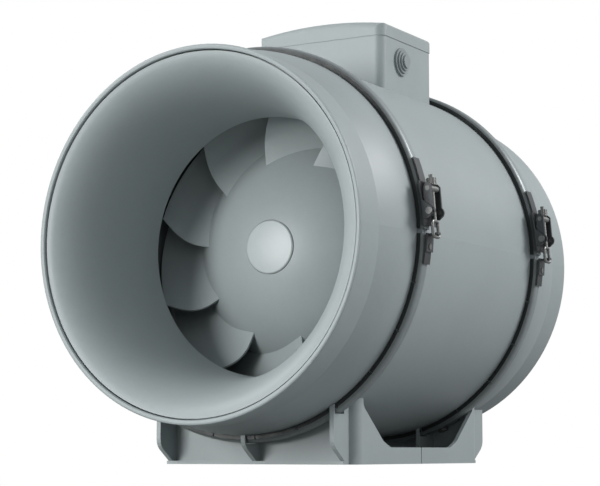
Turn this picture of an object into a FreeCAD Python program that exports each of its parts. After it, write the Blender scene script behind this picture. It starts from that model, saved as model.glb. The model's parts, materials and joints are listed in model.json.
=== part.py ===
"""Inline mixed-flow duct fan, 250 mm nominal duct size.

The object is a round plastic casing in three sections held together by two
quick-release clamps, a ten-blade mixed-flow impeller driven by a motor inside
the casing, stationary guide vanes behind it, a terminal box on top and a
two-part mounting base underneath.

Frame: +Y is the direction of the air, +Z is up, +X is the side with the clamp
latches.  The origin is the centre of the four mounting holes, on the plane the
base stands on.  Units are millimetres.

Positions along the duct are given as stations: the distance from the inlet rim.
Angles round the duct start at +X and grow towards +Z.
"""
import FreeCAD
import Part

import math
import os

# ---- driving dimensions -------------------------------------------------
AXIS_Z = 148.5             # height of the duct axis above the mounting plane
LENGTH = 326.0             # inlet rim to outlet rim
MOUNT_STATION = 176.5      # station of the centre of the mounting holes
SPIGOT_R = 123.5           # outside of both spigots, for a 250 mm duct
BODY_R = 129.0             # outside of the central casing
SHELL = 2.6                # wall of the moulded shells
SPIGOT_LEN = 24.0          # straight part of each spigot
SHOULDER_LEN = 36.0        # taper from spigot to body
FRONT_CLAMP = 70.0         # station of the front joint
REAR_CLAMP = 252.0         # station of the rear joint
FLANGE_R = 132.2           # outside of the joint flanges
FLANGE_T = 3.1             # thickness of one flange
GASKET_T = 0.8             # thickness of a flange gasket

LIP_R = 119.2              # start of the bellmouth at the inlet lip
THROAT_R = 89.6            # inside of the bellmouth at the throat
THROAT_STATION = 91.0
BELL_WALL = 2.2

SHROUD_IN_R = 94.0         # inner shroud at the throat
SHROUD_OUT_R = 121.5       # inner shroud round the guide vanes
SHROUD_S0 = 93.0
SHROUD_S1 = 170.0
TIP_GAP = 1.5              # blade tip to shroud

HUB_R = 88.0               # impeller hub at its rear edge
HUB_NOSE = 95.5            # station of the hub nose
HUB_REAR = 168.0           # station of the hub rear edge
HUB_POWER = 2.1            # fullness of the hub dome
HUB_WALL = 2.6
BLADES = 10
BLADE_PHASE = 20.6         # angle of a leading edge tip
BLADE_ROOT_R = 62.5        # where the leading edge leaves the hub
BLADE_TIP = 108.4          # station of a leading edge tip
BLADE_T = 2.0

VANES = 11
VANE_S0 = 178.0            # stations of the hoops that carry the vanes
VANE_S1 = 238.0
CORE_R = 86.5              # motor housing round which the air flows
SHAFT_R = 5.0

CAP_R = 18.6               # hub cap

BAND_R = 134.2             # outside of the V-section clamp band
BAND_HALF = 5.7            # half width of the clamp band
STRAP_T = 1.0
BAND_SLITS = 25

PIVOT_ANGLE = 5.0          # angle round the duct of the lever pivot
PIVOT_R = 140.2
LINK_R = 139.4             # line of pull of the hook bolt
TRUNNION_T = 15.0          # pivot to trunnion along the lever
LOOP_END_T = -16.2         # pivot to the bar of the loop

BOX_HALF_X = 52.3
BOX_S0 = 165.2
BOX_S1 = 243.2
BOX_TOP = 157.2            # joint of box and lid, above the duct axis
LID_EDGE = 166.0
LID_CROWN = 170.4
BOX_CORNER = 7.0           # rounded corners at the inlet side
BOX_REAR_CORNER = 3.0
LID_OVERHANG = 0.5         # lid beyond the walls of the box
BOX_WALL = 2.5

BASE_HALF_X = 75.3
BASE_HALF_Y = 94.2         # end panels from the middle of the base
BASE_WALL = 2.6
BASE_TOP = -95.0           # end panels, above the duct axis
RIB_REACH = 20.0
RIB_X = 67.9               # outer ribs from the middle
BASE_CORNER = 8.0
BASE_SEAM = 1.0            # gap between the two halves
HOLE_X = 58.0              # mounting holes from the middle
HOLE_Y = 79.0
HOLE_R = 3.2

AXIS = FreeCAD.Vector(0, 0, AXIS_Z)
TURN = FreeCAD.Vector(0, -1, 0)    # turns +X towards +Z
FLOW = FreeCAD.Vector(0, 1, 0)


# ---- helpers --------------------------------------------------------------
def y_at(station):
    """Y of a station."""
    return station - MOUNT_STATION


def place(x, station, up):
    """Point from x, station and height above the duct axis."""
    return FreeCAD.Vector(x, y_at(station), AXIS_Z + up)


def polar(radius, angle, station):
    """Point at a radius and angle round the duct axis."""
    a = math.radians(angle)
    return place(radius * math.cos(a), station, radius * math.sin(a))


def profile_face(segments):
    """Closed half section; each segment is a run of (radius, station) points.

    Runs of three or more points are smooth curves, the rest straight lines.
    """
    edges = []
    first = place(segments[0][0][0], segments[0][0][1], 0)
    last = first
    for segment in segments:
        points = [place(r, s, 0) for r, s in segment]
        if last.distanceToPoint(points[0]) > 1e-6:
            edges.append(Part.makeLine(last, points[0]))
        if len(points) > 2:
            curve = Part.BSplineCurve()
            curve.interpolate(points)
            edges.append(curve.toShape())
        elif len(points) == 2:
            edges.append(Part.makeLine(points[0], points[1]))
        last = points[-1]
    if last.distanceToPoint(first) > 1e-6:
        edges.append(Part.makeLine(last, first))
    return Part.Face(Part.Wire(edges))


def turned(segments, start=0.0, sweep=360.0):
    """Solid turned about the duct axis."""
    shape = profile_face(segments).revolve(AXIS, TURN, sweep)
    if start:
        shape.rotate(AXIS, TURN, start)
    return shape


def ring(r0, r1, s0, s1, start=0.0, sweep=360.0):
    """Plain ring between two radii and two stations."""
    return turned([[(r0, s0)], [(r1, s0)], [(r1, s1)], [(r0, s1)]], start, sweep)


def disc(r, s0, s1):
    """Cylinder on the duct axis."""
    return Part.makeCylinder(r, s1 - s0, place(0, s0, 0), FLOW)


def block(x0, x1, s0, s1, up0, up1):
    """Box from its limits; heights count from the duct axis."""
    return Part.makeBox(x1 - x0, s1 - s0, up1 - up0, place(x0, s0, up0))


def rod(radius, start, end):
    """Cylinder from one point to another."""
    line = end - start
    return Part.makeCylinder(radius, line.Length, start, line)


def hexagon(flats, start, end):
    """Hexagonal prism from one point to another."""
    line = end - start
    radius = flats / math.sqrt(3)
    corners = [FreeCAD.Vector(radius * math.cos(math.pi * i / 3),
                              radius * math.sin(math.pi * i / 3), 0) for i in range(7)]
    prism = Part.Face(Part.makePolygon(corners)).extrude(FreeCAD.Vector(0, 0, line.Length))
    prism.Placement = FreeCAD.Placement(
        start, FreeCAD.Rotation(FreeCAD.Vector(0, 0, 1), line))
    return prism


def sheet(points, direction):
    """Prism from a polygon and an extrusion vector."""
    return Part.Face(Part.makePolygon(points + [points[0]])).extrude(direction)


def fused(shapes):
    """One solid out of several that touch."""
    return shapes[0].multiFuse(shapes[1:]).removeSplitter()


def spun(shape, count):
    """Copies spaced evenly round the duct axis."""
    copies = []
    for i in range(count):
        copy = shape.copy()
        copy.rotate(AXIS, TURN, 360.0 * i / count)
        copies.append(copy)
    return copies


def rounded(shape, radius, wanted):
    """Fillet of the edges picked by a test on the edge."""
    edges = [edge for edge in shape.Edges if wanted(edge)]
    return shape.makeFillet(radius, edges) if edges else shape


def solid_of(shape):
    """The single solid inside a result, or the result itself."""
    return shape.Solids[0] if len(shape.Solids) == 1 else shape


# ---- outer casing -----------------------------------------------------------
def end_shell(flange_station):
    """Inlet or outlet shell, drawn with its rim at station zero."""
    straight = SPIGOT_LEN
    taper = straight + SHOULDER_LEN
    inner = SPIGOT_R - SHELL
    flange0 = flange_station - GASKET_T / 2 - FLANGE_T
    flange1 = flange_station - GASKET_T / 2
    outside = [(SPIGOT_R, straight), (SPIGOT_R + 1.2, straight + 5),
               (SPIGOT_R + 3.9, straight + 18), (BODY_R, taper)]
    inside = [(BODY_R - SHELL, taper), (SPIGOT_R + 3.9 - SHELL, straight + 18),
              (SPIGOT_R + 1.2 - SHELL, straight + 5), (inner, straight)]
    lip = [(inner, 5.0), (inner - 0.8, 3.6), (inner - 0.8, 1.0), (inner - 0.3, 0.25),
           (inner + 0.8, 0.0), (SPIGOT_R - 1.1, 0.0), (SPIGOT_R - 0.3, 0.35),
           (SPIGOT_R, 1.2)]
    shape = turned([[p] for p in lip] + [outside, [(BODY_R, flange0)],
                   [(FLANGE_R, flange0)], [(FLANGE_R, flange1)],
                   [(BODY_R - SHELL, flange1)], inside])
    return shape


def inlet_housing():
    """Outer shell of the inlet section."""
    return end_shell(FRONT_CLAMP)


def outlet_housing():
    """Outer shell of the outlet section: the inlet shell turned end for end."""
    shape = end_shell(LENGTH - REAR_CLAMP)
    middle = place(0, LENGTH / 2, 0)
    holes = [screw_hole(a, s) for a, s in base_screw_positions() if s > REAR_CLAMP]
    return solid_of(shape.mirror(middle, FLOW).cut(Part.makeCompound(holes)))


def bellmouth_curve(wall, steps=14):
    """Quarter ellipse from lip to throat, moved outwards by the wall."""
    long_axis = THROAT_STATION - 2.0
    short_axis = LIP_R - THROAT_R
    points = []
    for i in range(steps + 1):
        t = math.pi / 2 * i / steps
        nr = long_axis * math.sin(t)
        ns = short_axis * math.cos(t)
        size = math.hypot(nr, ns)
        radius = LIP_R - short_axis * math.sin(t) + wall * nr / size
        station = THROAT_STATION - long_axis * math.cos(t) + wall * ns / size
        points.append((radius, station))
    return points


def inlet_bellmouth():
    """Flared lining of the inlet, carried on a web behind the front joint."""
    inner = bellmouth_curve(0.0)
    outer = bellmouth_curve(BELL_WALL)
    outer[0] = (LIP_R, 2.0 + BELL_WALL)
    bell = turned([inner, outer[::-1]])
    collar = ring(LIP_R - 1.6, LIP_R + 0.4, 2.0 + BELL_WALL - 0.6, 12.0)
    web_s = FRONT_CLAMP - GASKET_T / 2 - FLANGE_T
    web = ring(THROAT_R + 2.0, BODY_R - SHELL, web_s - 2.5, web_s)
    ribs = spun(block(THROAT_R + 2.0, SPIGOT_R - SHELL, 44, web_s - 2, -1.0, 1.0), 12)
    keep = turned([[(LIP_R, 2.0)], outer[1:], [(BODY_R, THROAT_STATION)], [(BODY_R, 2.0)]])
    inside = turned([[(SPIGOT_R - SHELL, 0)], [(SPIGOT_R - SHELL, 66)], [(80, 66)], [(80, 0)]])
    carried = [part.common(keep) for part in [web] + [rib.common(inside) for rib in ribs]]
    return solid_of(fused([bell, collar] + carried))


def flange_gasket(station):
    """Flat rubber ring between two flanges."""
    return ring(BODY_R - SHELL + 0.4, FLANGE_R - 0.8, station - GASKET_T / 2,
                station + GASKET_T / 2)


def box_prism(inset, up0, up1):
    """Terminal box outline with rounded corners, as an upright prism."""
    x = BOX_HALF_X - inset
    s0 = BOX_S0 + inset
    prism = block(-x, x, s0, BOX_S1 - inset, up0, up1)
    height = up1 - up0
    prism = rounded(prism, BOX_CORNER - inset, lambda e: (
        e.BoundBox.ZLength > height - 0.1 and abs(e.BoundBox.YMin - y_at(s0)) < 0.01))
    return rounded(prism, max(BOX_REAR_CORNER - inset, 0.5), lambda e: (
        e.BoundBox.ZLength > height - 0.1 and abs(e.BoundBox.YMin - y_at(BOX_S1 - inset)) < 0.01))


def lid_screw_positions():
    """The four screw positions of the lid."""
    return [(sx * (BOX_HALF_X - 9.5), s) for sx in (-1, 1)
            for s in (BOX_S0 + 9.5, BOX_S1 - 9.5)]


def grommet_centre():
    """Station and height of the cable entry in the +X wall of the box."""
    return BOX_S0 + 29.5, 142.0


def base_screw_positions():
    """Angles and stations of the screws between base and casing."""
    return [(angle, s) for angle in (-112.0, -68.0) for s in (95.0, 263.0)]


def screw_hole(angle, station):
    """Hole in the casing for a screw of the base."""
    return rod(2.0, polar(BODY_R - 8, angle, station), polar(BODY_R + 4, angle, station))


def wire_hole(r0, r1):
    """Way out for the motor wires, from the motor housing up to the terminal box."""
    return rod(5.0, polar(r0, 86.0, 215), polar(r1, 86.0, 215))


def central_casing():
    """Cylinder between the clamps with the terminal box moulded on top."""
    s0 = FRONT_CLAMP + GASKET_T / 2
    s1 = REAR_CLAMP - GASKET_T / 2
    tube = turned([[(BODY_R - SHELL, s0)], [(FLANGE_R, s0)], [(FLANGE_R, s0 + FLANGE_T)],
                   [(BODY_R, s0 + FLANGE_T)], [(BODY_R, s1 - FLANGE_T)],
                   [(FLANGE_R, s1 - FLANGE_T)], [(FLANGE_R, s1)], [(BODY_R - SHELL, s1)]])
    core = disc(BODY_R - 1.0, s0, s1)
    walls = box_prism(LID_OVERHANG, 80, BOX_TOP).cut(box_prism(BOX_WALL, 70, BOX_TOP + 1))
    bosses = [Part.makeCylinder(4.6, BOX_TOP - 100, place(x, s, 100))
              for x, s in lid_screw_positions()]
    shape = fused([tube] + [part.cut(core) for part in [walls] + bosses])
    station, up = grommet_centre()
    cuts = [rod(8.5, place(BOX_HALF_X - 6, station, up), place(BOX_HALF_X + 6, station, up))]
    cuts += [rod(1.5, place(x, s, BOX_TOP - 14), place(x, s, BOX_TOP + 1))
             for x, s in lid_screw_positions()]
    cuts += [screw_hole(a, s) for a, s in base_screw_positions() if s < REAR_CLAMP]
    cuts.append(wire_hole(BODY_R - 8, BODY_R + 6))
    return solid_of(shape.cut(Part.makeCompound(cuts)))


# ---- air path behind the throat -------------------------------------------
def shroud_radius(station):
    """Inside of the shroud round the impeller."""
    t = (station - SHROUD_S0) / (SHROUD_S1 - SHROUD_S0)
    t = min(max(t, 0.0), 1.0)
    return SHROUD_IN_R + (SHROUD_OUT_R - SHROUD_IN_R) * math.sin(math.pi / 2 * t)


def shroud_run(wall, steps=10):
    """Points along the shroud from the throat to the vanes."""
    points = []
    for i in range(steps + 1):
        s = SHROUD_S0 + (SHROUD_S1 - SHROUD_S0) * i / steps
        points.append((shroud_radius(s) + wall, s))
    return points


def impeller_shroud():
    """Widening funnel round the impeller, with a flange behind the front joint."""
    wall = 2.2
    front = FRONT_CLAMP + GASKET_T / 2 + FLANGE_T
    inner = shroud_run(0.0)
    outer = shroud_run(wall)
    return turned([inner, [(SHROUD_OUT_R, VANE_S0)], [(SHROUD_OUT_R + wall, VANE_S0)],
                   outer[::-1], [(SHROUD_IN_R + wall, front + 2.5)],
                   [(BODY_R - SHELL, front + 2.5)], [(BODY_R - SHELL, front)],
                   [(SHROUD_IN_R, front)]])


def guide_vane():
    """One curved stationary vane, straightening the swirl."""
    count = 7
    front = []
    back = []
    for i in range(count):
        t = i / (count - 1)
        s = 184 + 52 * t
        turn = 26 * (1 - t) ** 2
        half = 0.9 + 0.5 * math.sin(math.pi * t)
        lean = math.degrees(half / 104.0)
        front.append((turn + lean, s))
        back.append((turn - lean, s))
    walls = []
    for radius in (CORE_R + 0.8, SHROUD_OUT_R + 1.2):
        edges = []
        for side in (front, back[::-1]):
            curve = Part.BSplineCurve()
            curve.interpolate([polar(radius, a, s) for a, s in side])
            edges.append(curve.toShape())
            last = side[-1]
            after = back[-1] if side is front else front[0]
            edges.append(Part.makeLine(polar(radius, *last), polar(radius, *after)))
        walls.append(Part.Wire(edges))
    return Part.makeLoft(walls, True, True)


def guide_vane_block():
    """Stationary vanes between an outer hoop and a hoop round the motor housing."""
    hoop = ring(SHROUD_OUT_R, SHROUD_OUT_R + 2.2, VANE_S0, VANE_S1)
    hub = ring(CORE_R, CORE_R + 1.6, VANE_S0 + 2, VANE_S1)
    block_shape = fused([hoop, hub] + spun(guide_vane(), VANES))
    return solid_of(block_shape.cut(wire_hole(CORE_R - 3, SHROUD_OUT_R + 5)))


def vane_support_ring():
    """Ring behind the vanes with the flange that locates them in the casing."""
    end = REAR_CLAMP - GASKET_T / 2 - 0.2
    return turned([[(SHROUD_OUT_R, VANE_S1)], [(SHROUD_OUT_R, end)], [(BODY_R - SHELL, end)],
                   [(BODY_R - SHELL, end - 2.5)], [(SHROUD_OUT_R + 2.2, end - 2.5)],
                   [(SHROUD_OUT_R + 2.2, VANE_S1)]])


def motor_housing():
    """Cup that holds the motor, closed towards the impeller."""
    shape = turned([[(28, 176)], [(CORE_R - 3, 176)], [(CORE_R, 179)], [(CORE_R, 246)],
                    [(CORE_R - 2.4, 246)], [(CORE_R - 2.4, 179.5)], [(28, 179.5)]])
    holes = [rod(2.0, polar(38, a, 170), polar(38, a, 190)) for a in (45, 135, 225, 315)]
    holes.append(wire_hole(CORE_R - 8, CORE_R + 3))
    return solid_of(shape.cut(Part.makeCompound(holes)))


def outlet_core():
    """Streamlined cone behind the motor housing."""
    outer = [(CORE_R, 246.0), (CORE_R - 2.5, 262), (74, 283), (56, 300), (30, 309), (0, 311)]
    inner = [(0, 308.6), (29, 306.8), (54.4, 298), (72, 281.4), (CORE_R - 5, 261.4),
             (CORE_R - 2.4, 246.0)]
    cone = turned([outer, inner])
    spigot = ring(CORE_R - 4.6, CORE_R - 2.4, 238, 250)
    return solid_of(fused([cone, spigot]))


# ---- impeller ---------------------------------------------------------------
def hub_point(u, inset=0.0):
    """Radius and station on the hub dome; u runs from nose to rear edge."""
    power = 2.0 / HUB_POWER
    radius = (HUB_R - inset) * math.sin(u) ** power
    station = HUB_REAR - (HUB_REAR - HUB_NOSE - inset) * math.cos(u) ** power
    return radius, station


def hub_u(radius):
    """Parameter of the hub dome at a radius."""
    return math.asin((radius / HUB_R) ** (HUB_POWER / 2.0))


def hub_body():
    """Dome of the hub with its boss for the shaft."""
    u_cap = hub_u(CAP_R + 0.4)
    steps = 16
    span = [u_cap + (math.pi / 2 - u_cap) * i / steps for i in range(steps + 1)]
    outer = [hub_point(u) for u in span[:-1]] + [(HUB_R, HUB_REAR)]
    inner = [hub_point(u, HUB_WALL) for u in span[:-1]] + [(HUB_R - HUB_WALL, HUB_REAR)]
    seat = outer[0][1] + 1.6
    dome = turned([outer, inner[::-1], [(CAP_R - 5, inner[0][1])], [(CAP_R - 5, seat)],
                   [(CAP_R + 0.4, seat)]])
    boss = ring(9.0, 14.0, seat, 150)
    web = ring(SHAFT_R, 10.0, 112, 150)
    ribs = spun(block(12, HUB_R - 4, 100, 146, -1.0, 1.0), 6)
    inside = turned([inner, [(0, HUB_REAR)], [(0, inner[0][1])]])
    return fused([dome, boss, web] + [rib.common(inside) for rib in ribs])


def blade_grid():
    """Middle surface of a blade as rows of (radius, station, angle)."""
    along = 10
    across = 5
    u0 = hub_u(BLADE_ROOT_R)
    u1 = math.radians(84)
    rows = []
    for i in range(along):
        s = i / (along - 1)
        root_r, root_s = hub_point(u0 + (u1 - u0) * s)
        tip_s = BLADE_TIP + (HUB_REAR - 2 - BLADE_TIP) * s
        tip_r = shroud_radius(tip_s) - TIP_GAP
        root_a = BLADE_PHASE + 10.5 - 70 * s ** 0.8
        tip_a = BLADE_PHASE - 64 * s ** 0.9
        row = []
        for j in range(across):
            t = -0.045 + 1.045 * j / (across - 1)
            bulge = math.sin(math.pi * max(t, 0.0)) * (1 - s)
            row.append((root_r + (tip_r - root_r) * t,
                        root_s + (tip_s - root_s) * t + 3.7 * bulge,
                        root_a + (tip_a - root_a) * t + 3.1 * bulge))
        rows.append(row)
    return rows


def blade_sides():
    """The two faces of a blade: the middle surface moved by half a thickness."""
    rows = [[polar(r, a, s) for r, s, a in row] for row in blade_grid()]
    last_i = len(rows) - 1
    last_j = len(rows[0]) - 1
    sides = ([], [])
    for i, row in enumerate(rows):
        taper = 0.35 + 0.65 * math.sin(math.pi * min(0.18 + 0.74 * i / last_i, 1.0))
        for side in sides:
            side.append([])
        for j, point in enumerate(row):
            along = rows[min(i + 1, last_i)][j] - rows[max(i - 1, 0)][j]
            across = row[min(j + 1, last_j)] - row[max(j - 1, 0)]
            normal = along.cross(across).normalize() * (BLADE_T / 2 * taper)
            sides[0][i].append(point + normal)
            sides[1][i].append(point - normal)
    return sides


def blade():
    """One impeller blade as a closed solid."""
    faces = []
    corners = []
    for grid in blade_sides():
        surface = Part.BSplineSurface()
        surface.interpolate(grid)
        faces.append(surface.toShape())
        corners.append((surface.uIso(0), surface.uIso(1), surface.vIso(0), surface.vIso(1)))
    for one, two in zip(corners[0], corners[1]):
        faces.append(Part.makeRuledSurface(one.toShape(), two.toShape()))
    shell = Part.makeShell(faces)
    shell.sewShape()
    solid = Part.makeSolid(shell)
    if solid.Volume < 0:
        solid.reverse()
    return solid


def impeller():
    """Hub and blades, moulded in one."""
    blades = spun(blade(), BLADES)
    hub = hub_body()
    return solid_of(fused([hub] + blades))


def hub_cap():
    """Slightly domed plug over the impeller nut."""
    face = hub_point(hub_u(CAP_R))[1]
    seat = hub_point(hub_u(CAP_R + 0.4))[1] + 1.6
    dome = turned([[(0, face - 2.3), (CAP_R * 0.5, face - 2.05), (CAP_R - 0.8, face - 1.2)],
                   [(CAP_R, face - 0.5)], [(CAP_R, seat)], [(9.0, seat)], [(9.0, seat + 4)],
                   [(7.4, seat + 4)], [(7.4, seat)], [(0, seat)]])
    return dome


# ---- motor ------------------------------------------------------------------
def motor_shaft():
    """Stepped shaft, threaded at the impeller end."""
    return turned([[(0, 103)], [(3.4, 103)], [(4.0, 103.6)], [(4.0, 112)], [(SHAFT_R, 112)],
                   [(SHAFT_R, 241)], [(SHAFT_R - 0.6, 241.6)], [(0, 241.6)]])


def impeller_nut():
    """Flanged nut that clamps the impeller on the shaft."""
    nut = hexagon(13.0, place(0, 104.4, 0), place(0, 111, 0))
    flange = disc(8.4, 110.2, 112)
    return solid_of(nut.fuse(flange).cut(disc(4.0, 100, 114)))


def rotor():
    """Laminated rotor with its end rings."""
    return fused([ring(SHAFT_R, 24.4, 194, 224), ring(17, 23, 191, 194), ring(17, 23, 224, 227)])


def motor_casing():
    """Drawn steel tube round the stator stack."""
    return ring(45.2, 48, 183, 233)


def stator_stack():
    """Laminated stator core with its slots."""
    core = ring(25.0, 45.2, 196, 222)
    slots = spun(block(26.5, 37, 195, 223, -2.0, 2.0), 18)
    return solid_of(core.cut(Part.makeCompound(slots)))


def stator_windings():
    """Coils: a bundle in every slot joined by a ring at each end."""
    bars = spun(block(29.0, 36.0, 193, 225, -1.9, 1.9), 18)
    heads = [turned([[(27.5, s0)], [(28.5, s1)], [(37.5, s1)], [(38.5, s0)]])
             for s0, s1 in ((195.5, 188), (222.5, 230))]
    return solid_of(fused(heads + bars))


def end_shield(rear):
    """Cast disc that carries a bearing; drawn at the front, mirrored behind."""
    shape = turned([[(13, 174)], [(16.5, 174)], [(17.5, 175)], [(17.5, 179.5)], [(48, 179.5)],
                    [(48, 183)], [(45.2, 183)], [(45.2, 186)], [(42, 186)], [(42, 183)],
                    [(17.5, 183)], [(17.5, 185)], [(7, 185)], [(7, 182)], [(13, 182)]])
    holes = [rod(2.0, polar(38, a, 178), polar(38, a, 184)) for a in (45, 135, 225, 315)]
    shape = shape.cut(Part.makeCompound(holes))
    if rear:
        shape = shape.mirror(place(0, 208, 0), FLOW)
    return solid_of(shape)


def bearing(s0):
    """Ball bearing, drawn as races with a shield between them."""
    outer = ring(11.3, 13.0, s0, s0 + 8)
    inner = ring(SHAFT_R + 0.03, 6.8, s0, s0 + 8)
    shield = ring(6.8, 11.3, s0 + 0.8, s0 + 7.2)
    return solid_of(fused([outer, inner, shield]))


def motor_screws():
    """Four long screws through the housing plate and both end shields."""
    screws = []
    for angle in (45, 135, 225, 315):
        shank = rod(2.0, polar(38, angle, 176), polar(38, angle, 188))
        head = rod(3.8, polar(38, angle, 173), polar(38, angle, 176))
        screws.append(head.fuse(shank).removeSplitter())
    return Part.makeCompound(screws)


# ---- terminal box -----------------------------------------------------------
def lid_block(inset, up0):
    """Solid under the arched top of the lid, reduced by an inset."""
    x = BOX_HALF_X - inset
    s0 = BOX_S0 + inset
    edge = LID_EDGE - inset
    crown = LID_CROWN - inset
    points = [place(-x, s0, up0), place(-x, s0, edge), place(0, s0, crown), place(x, s0, edge),
              place(x, s0, up0)]
    arch = Part.Arc(points[1], points[2], points[3]).toShape()
    wire = Part.Wire([Part.makeLine(points[0], points[1]), arch,
                      Part.makeLine(points[3], points[4]), Part.makeLine(points[4], points[0])])
    return Part.Face(wire).extrude(FreeCAD.Vector(0, BOX_S1 - BOX_S0 - 2 * inset, 0))


def terminal_box_lid():
    """Arched lid with a column over every screw."""
    outer = lid_block(0, BOX_TOP)
    outer = rounded(outer, 4.6, lambda e: (
        e.BoundBox.ZMin > AXIS_Z + LID_EDGE - 0.5 and e.BoundBox.XLength > BOX_HALF_X))
    outer = rounded(outer, 1.4, lambda e: (
        e.BoundBox.ZMin > AXIS_Z + LID_EDGE - 0.5 and e.BoundBox.XLength < 1.0
        and e.BoundBox.YLength > 40))
    outer = outer.common(box_prism(0, BOX_TOP - 1, LID_CROWN + 5))
    hollow = lid_block(BOX_WALL, BOX_TOP - 1).common(box_prism(BOX_WALL, 100, LID_CROWN))
    columns = [Part.makeCylinder(5.2, LID_EDGE - BOX_TOP, place(x, s, BOX_TOP))
               for x, s in lid_screw_positions()]
    shape = outer.cut(hollow.cut(Part.makeCompound(columns)))
    holes = []
    for x, s in lid_screw_positions():
        holes.append(Part.makeCylinder(1.7, 30, place(x, s, BOX_TOP - 5)))
        holes.append(Part.makeCylinder(3.6, 20, place(x, s, LID_EDGE - 3)))
    return solid_of(shape.cut(Part.makeCompound(holes)))


def cross_recess(centre, size, depth):
    """Cross-shaped driver recess going down from a point."""
    bars = []
    for dx, dy in ((size, 0.45), (0.45, size)):
        corner = centre - FreeCAD.Vector(dx, dy, depth)
        bars.append(Part.makeBox(2 * dx, 2 * dy, depth + 1, corner))
    return bars[0].fuse(bars[1])


def lid_screws():
    """Four pan-head screws of the lid."""
    screws = []
    for x, s in lid_screw_positions():
        head = Part.makeCylinder(3.2, 2.4, place(x, s, LID_EDGE - 3))
        head = rounded(head, 0.7, lambda e: e.BoundBox.ZMin > AXIS_Z + LID_EDGE - 0.7)
        shank = rod(1.5, place(x, s, BOX_TOP - 12), place(x, s, LID_EDGE - 3))
        recess = cross_recess(place(x, s, LID_EDGE - 0.6), 1.7, 1.2)
        screws.append(head.fuse(shank).removeSplitter().cut(recess))
    return Part.makeCompound([solid_of(screw) for screw in screws])


def terminal_block():
    """Five-way terminal block standing on a small deck."""
    body = block(8, 40, 182, 194, 130.5, 146)
    deck = block(6, 42, 180, 196, 124, 130.5).cut(disc(BODY_R, 170, 200))
    shape = body.fuse(deck)
    for i in range(5):
        x = 11.5 + 6.2 * i
        shape = shape.cut(rod(1.9, place(x, 188, 140), place(x, 188, 147)))
        shape = shape.cut(block(x - 1.5, x + 1.5, 181, 184, 133, 136.5))
    return solid_of(shape.removeSplitter())


def capacitor():
    """Motor capacitor lying in the box."""
    can = rod(11, place(-37, 197, BODY_R + 11), place(-2, 197, BODY_R + 11))
    can = rounded(can, 1.5, lambda e: e.BoundBox.XLength < 0.1)
    tail = rod(4, place(-2, 197, BODY_R + 11), place(2, 197, BODY_R + 11))
    foot = block(-35, -8, 193, 201, 120, BODY_R + 4).cut(disc(BODY_R, 180, 210))
    return solid_of(fused([can, tail, foot]))


def cable_grommet():
    """Stepped rubber grommet, snapped into the side wall of the box."""
    station, up = grommet_centre()
    inside = BOX_HALF_X - BOX_WALL
    wall = BOX_HALF_X - LID_OVERHANG
    steps = [(10.2, wall, wall + 1.6), (8.3, wall + 1.6, wall + 2.9),
             (6.5, wall + 2.9, wall + 4.2), (4.8, wall + 4.2, wall + 5.5),
             (8.5, inside, wall), (10.6, inside - 1.8, inside)]
    shape = fused([rod(r, place(x0, station, up), place(x1, station, up)) for r, x0, x1 in steps])
    bore = rod(3.0, place(wall - 10, station, up), place(wall + 4.5, station, up))
    return solid_of(shape.cut(bore))


# ---- clamps -----------------------------------------------------------------
def latch_place(radius, tangent, station):
    """Point beside the lever pivot: radius from the duct axis and height along it."""
    a = math.radians(PIVOT_ANGLE)
    x = radius * math.cos(a) - tangent * math.sin(a)
    up = radius * math.sin(a) + tangent * math.cos(a)
    return place(x, station, up)


def latch_plate(outline, s0, s1):
    """Flat plate across the latch from an outline of (radius, tangent) points."""
    points = [latch_place(r, t, s0) for r, t in outline]
    return sheet(points, FreeCAD.Vector(0, s1 - s0, 0))


def clamp_band(station):
    """V-section ring gripping both flanges, its crown rounded, slit in the lower half."""
    half = BAND_HALF
    grip = FLANGE_T + GASKET_T / 2
    inner = BODY_R + 0.4
    flat = 1.8
    crown = [(BAND_R - 2.2 * (i / 5.0) ** 2, flat + (half - flat) * i / 5) for i in range(6)]
    front = [(r, station - d) for r, d in crown]
    back = [(r, station + d) for r, d in crown]
    shape = turned([front[::-1], back, [(inner, station + half)],
                    [(inner, station + grip)], [(FLANGE_R + 0.4, station + grip)],
                    [(FLANGE_R + 0.4, station - grip)], [(inner, station - grip)],
                    [(inner, station - half)]])
    slit = block(inner - 1, FLANGE_R + 0.2, station - half - 1, station + half + 1, -0.5, 0.5)
    split = block(inner - 1, BAND_R + 2, station - half - 1, station + half + 1, -1.6, 1.6)
    slits = spun(slit, BAND_SLITS)[BAND_SLITS // 2 + 1:]
    return solid_of(shape.cut(Part.makeCompound(slits + [split])))


def clamp_strap(station):
    """Steel straps that stiffen the two ends of the band under the latch."""
    ends = [ring(BAND_R, BAND_R + STRAP_T, station - 4.2, station + 4.2, start, sweep)
            for start, sweep in ((3.0, 18.0), (-9.0, 6.0))]
    return Part.makeCompound(ends)


def latch_bracket(station):
    """Plate on the upper band end with two ears for the lever."""
    r0 = BAND_R + STRAP_T
    base = ring(r0, r0 + 1.1, station - 8.6, station + 8.6, 1.4, 12.2)
    shape = [base]
    for side in (-1, 1):
        s0 = station + side * 8.6
        s1 = station + side * 7.4
        low, high = min(s0, s1), max(s0, s1)
        ear = latch_plate([(r0 + 0.5, -4.6), (r0 + 0.5, 8.0), (PIVOT_R - 1.0, 5.0),
                           (PIVOT_R + 2.0, 2.2), (PIVOT_R + 2.0, -2.2),
                           (PIVOT_R - 1.0, -4.4)], low, high)
        shape.append(ear)
    shape = fused(shape)
    hole = rod(1.5, latch_place(PIVOT_R, 0, station - 10), latch_place(PIVOT_R, 0, station + 10))
    holes = [hole] + [latch_rivet_hole(station, angle) for angle in (10.5, 12.6)]
    return solid_of(shape.cut(Part.makeCompound(holes)))


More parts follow.
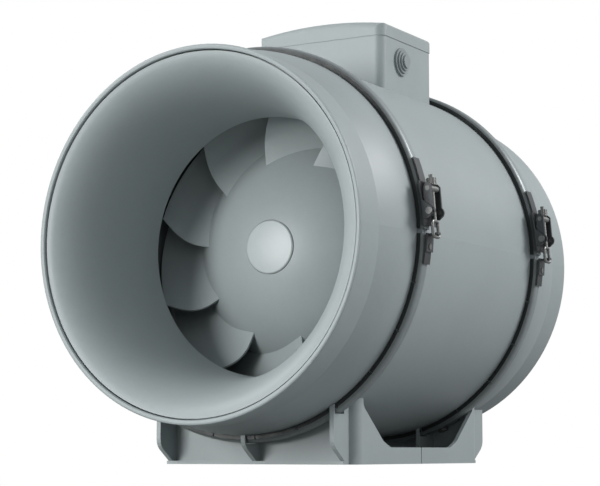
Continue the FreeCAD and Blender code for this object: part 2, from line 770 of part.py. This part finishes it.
def latch_rivet_hole(station, angle):
    """Hole for a rivet through latch plate, strap and band."""
    return rod(1.0, polar(BAND_R - 1, angle, station), polar(BAND_R + 6, angle, station))


def latch_catch(station):
    """Plate on the lower band end with the tab that the loop pulls on."""
    r0 = BAND_R + STRAP_T
    base = ring(r0, r0 + 1.1, station - 4.6, station + 4.6, -5.6, 5.0)
    tab = latch_plate([(r0 - 0.2, -14.75), (r0 - 0.2, -13.5), (LINK_R + 2.4, -13.5),
                       (LINK_R + 2.4, -14.75)], station - 2.3, station + 2.3)
    shape = fused([base, tab])
    return solid_of(shape.cut(latch_rivet_hole(station, -4.2)))


def clamp_rivets(station):
    """Rivets of the bracket and of the catch plate."""
    r0 = BAND_R + STRAP_T + 1.1
    rivets = []
    for angle in (10.5, 12.6, -4.2):
        shank = rod(1.0, polar(BAND_R + STRAP_T, angle, station), polar(r0, angle, station))
        head = rod(1.9, polar(r0, angle, station), polar(r0 + 0.5, angle, station))
        rivets.append(shank.fuse(head).removeSplitter())
    return Part.makeCompound(rivets)


def latch_studs(station):
    """Two short riveted studs on which the lever turns."""
    studs = []
    for side in (-1, 1):
        inner = latch_place(PIVOT_R, 0, station + side * 5.5)
        outer = latch_place(PIVOT_R, 0, station + side * 8.6)
        tip = latch_place(PIVOT_R, 0, station + side * 9.4)
        studs.append(rod(1.5, inner, outer).fuse(rod(2.3, outer, tip)).removeSplitter())
    return Part.makeCompound(studs)


def latch_lever(station):
    """Over-centre lever: two arms joined by a web next to the band."""
    low = PIVOT_R - 3.5
    high = PIVOT_R + 2.0
    arms = []
    for side in (-1, 1):
        s0 = station + side * 5.7
        s1 = station + side * 7.1
        bottom, top = min(s0, s1), max(s0, s1)
        arm = latch_plate([(low, 0), (low, 15.5), (low + 1.6, 18.5), (high - 1.6, 18.5),
                           (high, 16.6), (high, 0)], bottom, top)
        nose = rod(3.4, latch_place(PIVOT_R, 0, bottom), latch_place(PIVOT_R, 0, top))
        arms.append(arm.fuse(nose))
    web = latch_plate([(low, 2.4), (low, 9.0), (low + 1.0, 9.0), (low + 1.0, 2.4)],
                      station - 6.5, station + 6.5)
    shape = fused(arms + [web])
    pin = rod(1.55, latch_place(PIVOT_R, 0, station - 9), latch_place(PIVOT_R, 0, station + 9))
    seat = rod(1.65, latch_place(LINK_R, TRUNNION_T, station - 9),
               latch_place(LINK_R, TRUNNION_T, station + 9))
    return solid_of(shape.cut(Part.makeCompound([pin, seat])))


def latch_trunnion(station):
    """Cross pin in the lever, bored for the hook bolt."""
    thick = rod(2.4, latch_place(LINK_R, TRUNNION_T, station - 5.4),
                latch_place(LINK_R, TRUNNION_T, station + 5.4))
    thin = rod(1.6, latch_place(LINK_R, TRUNNION_T, station - 7.1),
               latch_place(LINK_R, TRUNNION_T, station + 7.1))
    bore = rod(1.4, latch_place(LINK_R, TRUNNION_T - 6, station),
               latch_place(LINK_R, TRUNNION_T + 6, station))
    return solid_of(thick.fuse(thin).removeSplitter().cut(bore))


def loop_of_wire(station, half, top, bottom, wire, bend):
    """Rectangular loop of round wire with bent corners."""
    centres = [(top - bend, half - bend), (bottom + bend, half - bend),
               (bottom + bend, bend - half), (top - bend, bend - half)]
    pieces = []
    for i, (t, s) in enumerate(centres):
        angle = math.pi / 2 * i
        across = (bend * math.cos(angle), bend * math.sin(angle))
        begin = latch_place(LINK_R, t + across[0], station + s + across[1])
        centre = latch_place(LINK_R, t, station + s)
        after_t, after_s = centres[(i + 1) % 4]
        side = (-bend * math.sin(angle), bend * math.cos(angle))
        leave = latch_place(LINK_R, t + side[0], station + s + side[1])
        arrive = latch_place(LINK_R, after_t + side[0], station + after_s + side[1])
        along = leave - centre
        face = Part.Face(Part.Wire([Part.makeCircle(wire, begin, along)]))
        turn = (begin - centre).cross(along).normalize()
        pieces.append(face.revolve(centre, turn, 90))
        pieces.append(rod(wire, leave, arrive))
    return pieces


def hook_bolt(station):
    """Threaded rod ending in a rectangular loop that goes round the catch."""
    top = -6.0
    loop = loop_of_wire(station, 3.9, top, LOOP_END_T, 1.1, 1.5)
    shank = rod(1.4, latch_place(LINK_R, top, station), latch_place(LINK_R, 24.5, station))
    return solid_of(fused(loop + [shank]))


def latch_nut(station):
    """Ribbed nut that sets the pull of the hook bolt."""
    start = TRUNNION_T + 2.45
    grip = rod(3.0, latch_place(LINK_R, start, station), latch_place(LINK_R, start + 4.6, station))
    ribs = []
    for i in range(12):
        a = math.radians(30.0 * i)
        dr = 3.0 * math.cos(a)
        ds = 3.0 * math.sin(a)
        ribs.append(rod(0.38, latch_place(LINK_R + dr, start, station + ds),
                        latch_place(LINK_R + dr, start + 4.6, station + ds)))
    bore = rod(1.4, latch_place(LINK_R, start - 1, station),
               latch_place(LINK_R, start + 6, station))
    return solid_of(fused([grip] + ribs).cut(bore))


# ---- base -------------------------------------------------------------------
def casing_clearance():
    """Room that the base leaves for the casing and both clamps."""
    gap = 0.3
    ring_r = BAND_R + 0.6
    room = BAND_HALF + 0.4
    f0, f1 = FRONT_CLAMP - room, FRONT_CLAMP + room
    r0, r1 = REAR_CLAMP - room, REAR_CLAMP + room
    return turned([[(0, 40)], [(BODY_R + gap, 40)], [(BODY_R + gap, f0)], [(ring_r, f0)],
                   [(ring_r, f1)], [(BODY_R, f1)], [(BODY_R, r0)], [(ring_r, r0)],
                   [(ring_r, r1)], [(BODY_R + gap, r1)], [(BODY_R + gap, 310)], [(0, 310)]])


def side_panel(x0):
    """Side wall of the front half: a tall leg and a low strip."""
    bottom = -AXIS_Z
    m = MOUNT_STATION
    outline = [(m - BASE_HALF_Y, bottom), (m - BASE_HALF_Y, BASE_TOP), (m - 84.5, BASE_TOP),
               (m - 84.5, -110), (m - 56.5, -133), (m - 46, -137.2), (m - BASE_SEAM / 2, -137.2),
               (m - BASE_SEAM / 2, bottom)]
    panel = sheet([place(x0, s, up) for s, up in outline], FreeCAD.Vector(BASE_WALL, 0, 0))
    soft = [(-110, 6.0), (-133, 10.0), (-137.2, 10.0)]
    for up, radius in soft:
        panel = rounded(panel, radius, lambda e, z=AXIS_Z + up, r=radius: (
            abs(e.BoundBox.ZMin - z) < 0.01 and e.BoundBox.ZLength < 0.01
            and e.BoundBox.YLength < 0.01 and e.BoundBox.YMax < -10))
    return panel


def base_rib(x):
    """Upright rib in front of the end panel, with a swept-back foot."""
    front = MOUNT_STATION - BASE_HALF_Y
    reach = RIB_REACH
    outline = [(-1, 1), (5, 2), (reach - 3.5, 10), (reach - 1.4, 12.2), (reach - 0.3, 14.6),
               (reach, 17), (reach, 48.5), (-1, 48.5)]
    points = [place(x - 1.6, front - out, height - AXIS_Z) for out, height in outline]
    return sheet(points, FreeCAD.Vector(3.2, 0, 0))


def base_shape():
    """Front half of the base before the casing is cut out of it."""
    m = MOUNT_STATION
    front = m - BASE_HALF_Y
    x = BASE_HALF_X
    floor = -AXIS_Z
    panel = block(-x, x, front, front + BASE_WALL, floor, BASE_TOP)
    plate = block(-x, x, front, front + 27, floor, floor + 3)
    body = [panel, plate, side_panel(-x), side_panel(x - BASE_WALL)]
    for side in (-1, 1):
        near, far = sorted((side * x, side * (x - BASE_WALL - 5)))
        body.append(block(near, far, front, front + BASE_WALL + 5, floor, BASE_TOP))
        near, far = sorted((side * x, side * (x - BASE_WALL - 22)))
        body.append(block(near, far, front, m - BASE_SEAM / 2, floor, floor + 3))
    body = rounded(fused(body), BASE_CORNER, lambda e: (
        e.BoundBox.ZLength > 40 and abs(e.BoundBox.YMin - y_at(front)) < 0.01))
    ledge = block(-RIB_X - 1.6, RIB_X + 1.6, front - 7.3, front + 1, floor, floor + 2.2)
    webs = [block(rx - 1.3, rx + 1.3, front + 1, front + 26, floor + 1, -100)
            for rx in (-38, 38)]
    return fused([body, ledge] + [base_rib(rx) for rx in (-RIB_X, 0, RIB_X)] + webs)


def base_half(rear):
    """Half of the mounting base with its saddle and holes."""
    shape = base_shape()
    saddle = ring(BODY_R, BODY_R + 3.4, 84, 108, -118, 56)
    if rear:
        shape = shape.mirror(place(0, MOUNT_STATION, 0), FLOW)
        saddle = ring(BODY_R, BODY_R + 3.4, 258.7, 265.5, -118, 56)
        saddle = saddle.fuse(ring(BODY_R + 0.3, BODY_R + 3.4, 265.5, 269, -118, 56))
    shape = shape.cut(casing_clearance())
    shape = fused([shape, saddle])
    side = 1 if rear else -1
    holes = []
    for x in (-HOLE_X, HOLE_X):
        s = MOUNT_STATION + side * HOLE_Y
        holes.append(rod(HOLE_R, place(x, s, -AXIS_Z - 1), place(x, s, -AXIS_Z + 5)))
    for angle, s in base_screw_positions():
        holes.append(rod(2.0, polar(BODY_R - 2, angle, s), polar(BODY_R + 6, angle, s)))
        holes.append(rod(4.4, polar(BODY_R + 3.4, angle, s), polar(BODY_R + 9, angle, s)))
    return solid_of(shape.cut(Part.makeCompound(holes)))


def base_screws():
    """Four screws from the saddles into the casing."""
    screws = []
    for angle, s in base_screw_positions():
        shank = rod(2.0, polar(BODY_R - SHELL, angle, s), polar(BODY_R + 3.4, angle, s))
        head = rod(3.8, polar(BODY_R + 3.4, angle, s), polar(BODY_R + 5.8, angle, s))
        screws.append(shank.fuse(head).removeSplitter())
    return Part.makeCompound(screws)


# ---- all nodes --------------------------------------------------------------
def clamp_nodes(name, station):
    """All the pieces of one quick-release clamp."""
    return {
        name + "_clamp_band": clamp_band(station),
        name + "_clamp_strap": clamp_strap(station),
        name + "_latch_bracket": latch_bracket(station),
        name + "_latch_catch": latch_catch(station),
        name + "_clamp_rivets": clamp_rivets(station),
        name + "_latch_studs": latch_studs(station),
        name + "_latch_lever": latch_lever(station),
        name + "_latch_trunnion": latch_trunnion(station),
        name + "_hook_bolt": hook_bolt(station),
        name + "_latch_nut": latch_nut(station),
    }


def all_nodes():
    """Every node of the fan by name."""
    nodes = {
        "inlet_housing": inlet_housing(),
        "inlet_bellmouth": inlet_bellmouth(),
        "central_casing": central_casing(),
        "impeller_shroud": impeller_shroud(),
        "guide_vane_block": guide_vane_block(),
        "vane_support_ring": vane_support_ring(),
        "motor_housing": motor_housing(),
        "outlet_housing": outlet_housing(),
        "outlet_core": outlet_core(),
        "front_gasket": flange_gasket(FRONT_CLAMP),
        "rear_gasket": flange_gasket(REAR_CLAMP),
        "impeller": impeller(),
        "hub_cap": hub_cap(),
        "impeller_nut": impeller_nut(),
        "motor_shaft": motor_shaft(),
        "rotor": rotor(),
        "motor_casing": motor_casing(),
        "stator_stack": stator_stack(),
        "stator_windings": stator_windings(),
        "front_end_shield": end_shield(False),
        "rear_end_shield": end_shield(True),
        "front_bearing": bearing(174.0),
        "rear_bearing": bearing(234.0),
        "motor_screws": motor_screws(),
        "terminal_box_lid": terminal_box_lid(),
        "lid_screws": lid_screws(),
        "terminal_block": terminal_block(),
        "capacitor": capacitor(),
        "cable_grommet": cable_grommet(),
        "front_base": base_half(False),
        "rear_base": base_half(True),
        "base_screws": base_screws(),
    }
    nodes.update(clamp_nodes("front", FRONT_CLAMP))
    nodes.update(clamp_nodes("rear", REAR_CLAMP))
    return nodes


os.makedirs("parts", exist_ok=True)
for node, shape in all_nodes().items():
    shape.exportStep("parts/%s.step" % node)
    print(node, "solids", len(shape.Solids), "valid", shape.isValid(), "volume %.0f" % shape.Volume)
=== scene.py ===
"""Looks of the inline duct fan: materials, floor, ambient light, lamps and camera.

Lengths are in metres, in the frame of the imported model: +Y is the direction of the air,
+Z is up, +X is the side with the clamp latches. Angles are in degrees, colours linear.
"""
import json
import math

import bpy
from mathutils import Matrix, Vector

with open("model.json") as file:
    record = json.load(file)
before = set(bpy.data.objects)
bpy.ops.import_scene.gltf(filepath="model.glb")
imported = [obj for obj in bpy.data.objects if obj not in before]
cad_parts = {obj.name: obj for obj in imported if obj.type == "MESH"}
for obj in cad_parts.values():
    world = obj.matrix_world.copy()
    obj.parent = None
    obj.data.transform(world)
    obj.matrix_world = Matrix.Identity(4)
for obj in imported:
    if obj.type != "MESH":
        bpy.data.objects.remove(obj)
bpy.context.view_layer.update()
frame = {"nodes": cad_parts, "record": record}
NODES = frame["nodes"]

WHITE = (1, 1, 1, 1)
CASING_RGB = (0.318, 0.357, 0.360)

FLOOR_SIZE = 60.0
FLOOR_Z = -0.0002
FLOOR_DARK = (0.30, 0.31, 0.31, 1)
FLOOR_LIGHT = (0.36, 0.37, 0.37, 1)

AMBIENT_COLOR = (0.93, 0.97, 1.0, 1)
AMBIENT_STRENGTH = 0.49

LAMP_TARGET = (0, -0.03, 0.15)
LAMP_DISTANCE = 2.6
LAMP_SIZE = 1.1
# name, azimuth from -Y towards +X, height above the target, power in watts
LAMPS = (
    ("left", -62.0, 33.0, 24.0),
    ("front", -20.0, 5.0, 48.0),
    ("behind", 123.0, 32.0, 50.0),
)

CAMERA_PLACE = (0.6545, -1.1562, 0.0093)
CAMERA_TURN = 30.36
CAMERA_TILT = 6.43
CAMERA_LENS_MM = 110.4
SENSOR_WIDTH_MM = 36.0
CLIP_NEAR = 0.05
CLIP_FAR = 50.0

# Sockets of the Mix node when it mixes colours.
MIX_FACTOR = 0
MIX_FIRST = 6
MIX_SECOND = 7
MIX_RESULT = 2


# ---- node helpers -----------------------------------------------------------
class Tree:
    """A small wrapper that adds nodes to a material and links them."""

    def __init__(self, name):
        self.material = bpy.data.materials.new(name)
        self.material.use_nodes = True
        self.nodes = self.material.node_tree.nodes
        self.links = self.material.node_tree.links
        self.shader = self.nodes["Principled BSDF"]
        self.coords = self.add("ShaderNodeTexCoord").outputs["Object"]

    def add(self, kind, inputs=None, **settings):
        node = self.nodes.new(kind)
        for key, value in settings.items():
            setattr(node, key, value)
        for key, value in (inputs or {}).items():
            self.put(node.inputs[key], value)
        return node

    def put(self, socket, value):
        if isinstance(value, bpy.types.NodeSocket):
            self.links.new(value, socket)
        else:
            socket.default_value = value

    def noise(self, scale, detail, rough, vector=None):
        node = self.add("ShaderNodeTexNoise", {"Scale": scale, "Detail": detail,
                                               "Roughness": rough})
        self.links.new(vector or self.coords, node.inputs["Vector"])
        return node.outputs["Fac"]

    def span(self, value, low, high, start=0.3, end=0.7):
        """Maps start..end of a value to low..high."""
        node = self.add("ShaderNodeMapRange", {"Value": value, "From Min": start,
                                               "From Max": end, "To Min": low, "To Max": high})
        return node.outputs["Result"]

    def blend(self, factor, one, two):
        node = self.add("ShaderNodeMix", data_type="RGBA")
        self.put(node.inputs[MIX_FACTOR], factor)
        self.put(node.inputs[MIX_FIRST], one)
        self.put(node.inputs[MIX_SECOND], two)
        return node.outputs[MIX_RESULT]

    def math(self, kind, one, two):
        node = self.add("ShaderNodeMath", operation=kind)
        self.put(node.inputs[0], one)
        self.put(node.inputs[1], two)
        return node.outputs[0]

    def stretched(self, scale):
        node = self.add("ShaderNodeMapping", {"Vector": self.coords, "Scale": scale})
        return node.outputs["Vector"]

    def bump(self, height, strength, distance, after=None):
        node = self.add("ShaderNodeBump", {"Height": height, "Strength": strength,
                                           "Distance": distance})
        if after is not None:
            self.links.new(after, node.inputs["Normal"])
        return node.outputs["Normal"]

    def finish(self, color, roughness, normal, metallic=0.0, specular=0.5):
        self.put(self.shader.inputs["Base Color"], color)
        self.put(self.shader.inputs["Roughness"], roughness)
        self.shader.inputs["Metallic"].default_value = metallic
        self.shader.inputs["Specular IOR Level"].default_value = specular
        if normal is not None:
            self.links.new(normal, self.shader.inputs["Normal"])
        return self.material


def shade(rgb, gain):
    return (rgb[0] * gain, rgb[1] * gain, rgb[2] * gain, 1.0)


# ---- materials --------------------------------------------------------------
def moulded_plastic(name, rgb, rough):
    """Spark-textured moulded plastic: fine grain, faint cloudy colour and gloss changes."""
    tree = Tree(name)
    cloud = tree.noise(scale=14.0, detail=4.0, rough=0.55)
    fine = tree.noise(scale=220.0, detail=3.0, rough=0.6)
    mix = tree.math("ADD", tree.math("MULTIPLY", cloud, 0.7), tree.math("MULTIPLY", fine, 0.3))
    contrast = 0.05
    color = tree.blend(tree.span(mix, low=0.0, high=1.0), shade(rgb, 1 - contrast),
                       shade(rgb, 1 + contrast))
    roughness = tree.span(mix, low=rough - 0.05, high=rough + 0.06)
    grain = tree.noise(scale=2600.0, detail=2.0, rough=0.5)
    normal = tree.bump(grain, strength=0.35, distance=0.00004)
    waves = tree.noise(scale=38.0, detail=2.0, rough=0.5)
    normal = tree.bump(waves, strength=0.10, distance=0.0004, after=normal)
    return tree.finish(color, roughness, normal, specular=0.42)


def orange_peel(tree):
    """Faint bumps of a sprayed coat."""
    peel = tree.noise(scale=900.0, detail=2.0, rough=0.5)
    return tree.bump(peel, strength=0.2, distance=0.00004)


def coated_steel(name, rgb, rough, metallic=0.35, worn=0.45):
    """Coated steel with a faint orange peel and rubbed lighter patches."""
    tree = Tree(name)
    cloud = tree.noise(scale=45.0, detail=5.0, rough=0.6)
    patches = tree.noise(scale=320.0, detail=4.0, rough=0.65)
    rubbed = tree.span(patches, low=0.0, high=1.0, start=0.5, end=0.8)
    color = tree.blend(tree.math("MULTIPLY", rubbed, worn), shade(rgb, 0.92), shade(rgb, 1.7))
    roughness = tree.span(cloud, low=rough - 0.06, high=rough + 0.08)
    return tree.finish(color, roughness, orange_peel(tree), metallic=metallic)


def banded_steel(name, crown, painted_shade_rgb, rough):
    """Coated clamp band: grey crown with random grime; painted shade makes the flanks near
    black.
    """
    tree = Tree(name)
    facing = tree.add("ShaderNodeTexCoord").outputs["Normal"]
    split = tree.add("ShaderNodeSeparateXYZ", {"Vector": facing})
    sideways = tree.math("ABSOLUTE", split.outputs["Y"], 0.0)
    # Painted shade: the more a face turns along Y, the nearer it goes to the near-black flank
    # colour.
    painted_shade_mask = tree.span(sideways, low=0.0, high=1.0, start=0.45, end=0.95)
    grime = tree.span(tree.noise(scale=70.0, detail=4.0, rough=0.6), low=0.0, high=0.5)
    light = tree.blend(grime, shade(crown, 1.0), shade(crown, 0.75))
    # The flanks take the painted shade that stands for the shadow in the gap beside the band.
    color = tree.blend(painted_shade_mask, light, shade(painted_shade_rgb, 1.0))
    gloss = tree.noise(scale=140.0, detail=3.0, rough=0.6)
    roughness = tree.span(gloss, low=rough - 0.06, high=rough + 0.08)
    return tree.finish(color, roughness, orange_peel(tree), metallic=0.3)


def bright_metal(name, rgb, rough, stretch):
    """Bare, plated or cast metal with fine scratches, squeezed by the stretch of each axis."""
    tree = Tree(name)
    scratches = tree.noise(scale=900.0, detail=4.0, rough=0.6, vector=tree.stretched(stretch))
    cloud = tree.noise(scale=120.0, detail=3.0, rough=0.5)
    color = tree.blend(tree.span(cloud, low=0.0, high=1.0), shade(rgb, 0.86), shade(rgb, 1.05))
    roughness = tree.span(scratches, low=rough - 0.07, high=rough + 0.12)
    normal = tree.bump(scratches, strength=0.25, distance=0.00003)
    return tree.finish(color, roughness, normal, metallic=1.0)


def rubber(name, rgb, rough):
    """Matte rubber with a dusty bloom."""
    tree = Tree(name)
    bloom = tree.noise(scale=60.0, detail=5.0, rough=0.65)
    color = tree.blend(tree.span(bloom, low=0.0, high=1.0), shade(rgb, 0.88), shade(rgb, 1.15))
    roughness = tree.span(bloom, low=rough - 0.08, high=rough + 0.1)
    pores = tree.noise(scale=1500.0, detail=2.0, rough=0.5)
    normal = tree.bump(pores, strength=0.3, distance=0.00005)
    return tree.finish(color, roughness, normal, specular=0.3)


def laminated(name, rgb, sheets):
    """Stacked steel sheets seen on their edges."""
    tree = Tree(name)
    wave = tree.add("ShaderNodeTexWave", {"Scale": sheets, "Distortion": 0.15},
                    wave_type="BANDS", bands_direction="Y")
    tree.links.new(tree.coords, wave.inputs["Vector"])
    cloud = tree.noise(scale=80.0, detail=3.0, rough=0.5)
    color = tree.blend(tree.span(cloud, low=0.0, high=1.0), shade(rgb, 0.8), shade(rgb, 1.15))
    normal = tree.bump(wave.outputs["Fac"], strength=0.4, distance=0.0001)
    roughness = tree.span(cloud, low=0.35, high=0.5)
    return tree.finish(color, roughness, normal, metallic=0.9)


def wound_wire(name, rgb):
    """Enamelled copper wire laid round in turns."""
    tree = Tree(name)
    turns = tree.stretched((1.0, 6.0, 1.0))
    strands = tree.noise(scale=160.0, detail=2.0, rough=0.4, vector=turns)
    color = tree.blend(tree.span(strands, low=0.0, high=1.0), shade(rgb, 0.55), shade(rgb, 1.2))
    normal = tree.bump(strands, strength=0.8, distance=0.0004)
    roughness = tree.span(strands, low=0.25, high=0.4)
    return tree.finish(color, roughness, normal, metallic=0.6)


# Noise scale for each axis: the larger it is, the finer the scratches along that axis.
FINE_IN_Y = (1.0, 10.0, 1.0)
FINE_IN_Z = (1.0, 1.0, 12.0)
EVEN = (1.0, 1.0, 1.0)

MATERIALS = {
    "casing_plastic": moulded_plastic("casing_plastic", CASING_RGB, 0.46),
    "inner_plastic": moulded_plastic("inner_plastic", (0.10, 0.108, 0.11), 0.55),
    "impeller_plastic": moulded_plastic("impeller_plastic", (0.325, 0.366, 0.369), 0.40),
    "cap_plastic": moulded_plastic("cap_plastic", (0.43, 0.475, 0.478), 0.34),
    "rubber": rubber("rubber", (0.018, 0.018, 0.019), 0.72),
    "grommet_rubber": rubber("grommet_rubber", (0.27, 0.303, 0.306), 0.55),
    "zinc_steel": bright_metal("zinc_steel", (0.25, 0.25, 0.245), 0.40, FINE_IN_Z),
    "ground_steel": bright_metal("ground_steel", (0.58, 0.58, 0.58), 0.22, FINE_IN_Y),
    "lamination_steel": laminated("lamination_steel", (0.32, 0.32, 0.34), 650.0),
    "copper_wire": wound_wire("copper_wire", (0.50, 0.20, 0.08)),
    "motor_paint": coated_steel("motor_paint", (0.02, 0.02, 0.022), 0.42),
    "cast_aluminium": bright_metal("cast_aluminium", (0.6, 0.61, 0.62), 0.45, EVEN),
    "terminal_plastic": moulded_plastic("terminal_plastic", (0.72, 0.72, 0.66), 0.4),
    "capacitor_can": moulded_plastic("capacitor_can", (0.62, 0.62, 0.6), 0.35),
    # The second colour is painted shade for the band's flanks, standing in for the shadow of the
    # gap.
    "clamp_paint": banded_steel("clamp_paint", (0.27, 0.30, 0.302), (0.022, 0.025, 0.025), 0.42),
    "latch_steel": coated_steel("latch_steel", (0.085, 0.088, 0.092), 0.33, 0.55, 0.35),
}
STRAP_STEEL = coated_steel("strap_steel", (0.07, 0.073, 0.076), 0.36, 0.5, 0.25)


def dress_nodes():
    """Gives every CAD node the material of its slot, and the straps a darker coat."""
    for part in frame["record"]["subparts"]:
        mesh = NODES[part["node"]].data
        mesh.materials.clear()
        material = MATERIALS[part["material_slot"]]
        mesh.materials.append(STRAP_STEEL if part["node"].endswith("_strap") else material)


# ---- stage ------------------------------------------------------------------
def white_for_camera(node_tree, lit, white, output):
    """Shows camera rays the white shader, and every other ray the lit one."""
    path = node_tree.nodes.new("ShaderNodeLightPath")
    mix = node_tree.nodes.new("ShaderNodeMixShader")
    node_tree.links.new(path.outputs["Is Camera Ray"], mix.inputs[0])
    node_tree.links.new(lit.outputs[0], mix.inputs[1])
    node_tree.links.new(white.outputs[0], mix.inputs[2])
    node_tree.links.new(mix.outputs[0], node_tree.nodes[output].inputs["Surface"])


def pale_floor():
    """Plain pale floor: white to the camera, a weak reflector for everything else."""
    bpy.ops.mesh.primitive_plane_add(size=FLOOR_SIZE, location=(0, 0, FLOOR_Z))
    floor = bpy.context.object
    floor.name = "floor"
    tree = Tree("floor_paint")
    cloud = tree.noise(scale=3.0, detail=3.0, rough=0.5)
    color = tree.blend(tree.span(cloud, low=0.0, high=1.0), FLOOR_DARK, FLOOR_LIGHT)
    tree.finish(color, 0.9, None, specular=0.1)
    white = tree.add("ShaderNodeEmission", {"Color": WHITE, "Strength": 1.0})
    white_for_camera(tree.material.node_tree, tree.shader, white, "Material Output")
    floor.data.materials.append(tree.material)


def sky():
    """Soft ambient light, and white where the camera sees past the object."""
    world = bpy.data.worlds.new("studio")
    bpy.context.scene.world = world
    world.use_nodes = True
    ambient = world.node_tree.nodes["Background"]
    ambient.inputs["Color"].default_value = AMBIENT_COLOR
    ambient.inputs["Strength"].default_value = AMBIENT_STRENGTH
    white = world.node_tree.nodes.new("ShaderNodeBackground")
    white.inputs["Color"].default_value = WHITE
    white.inputs["Strength"].default_value = 1.0
    white_for_camera(world.node_tree, ambient, white, "World Output")


def soft_lamp(name, azimuth, height, power):
    """Large round area lamp on a sphere round the object, aimed near its middle."""
    turn = math.radians(azimuth)
    rise = math.radians(height)
    place = (LAMP_DISTANCE * math.sin(turn) * math.cos(rise),
             -LAMP_DISTANCE * math.cos(turn) * math.cos(rise),
             LAMP_TARGET[2] + LAMP_DISTANCE * math.sin(rise))
    data = bpy.data.lights.new(name, "AREA")
    data.shape = "DISK"
    data.size = LAMP_SIZE
    data.energy = power
    lamp = bpy.data.objects.new(name, data)
    lamp.location = place
    aim = Vector(LAMP_TARGET) - Vector(place)
    lamp.rotation_euler = aim.to_track_quat("-Z", "Y").to_euler()
    bpy.context.scene.collection.objects.link(lamp)


def camera():
    """Long lens, low and to the latch side, looking slightly up."""
    data = bpy.data.cameras.new("camera")
    data.sensor_width = SENSOR_WIDTH_MM
    data.lens = CAMERA_LENS_MM
    data.clip_start = CLIP_NEAR
    data.clip_end = CLIP_FAR
    cam = bpy.data.objects.new("camera", data)
    turn = math.radians(CAMERA_TURN)
    tilt = math.radians(CAMERA_TILT)
    look = Vector((-math.sin(turn) * math.cos(tilt), math.cos(turn) * math.cos(tilt),
                   math.sin(tilt)))
    cam.location = CAMERA_PLACE
    cam.rotation_euler = look.to_track_quat("-Z", "Y").to_euler()
    bpy.context.scene.collection.objects.link(cam)
    bpy.context.scene.camera = cam


dress_nodes()
pale_floor()
sky()
for lamp_settings in LAMPS:
    soft_lamp(*lamp_settings)
camera()
bpy.context.scene.view_settings.view_transform = "Standard"
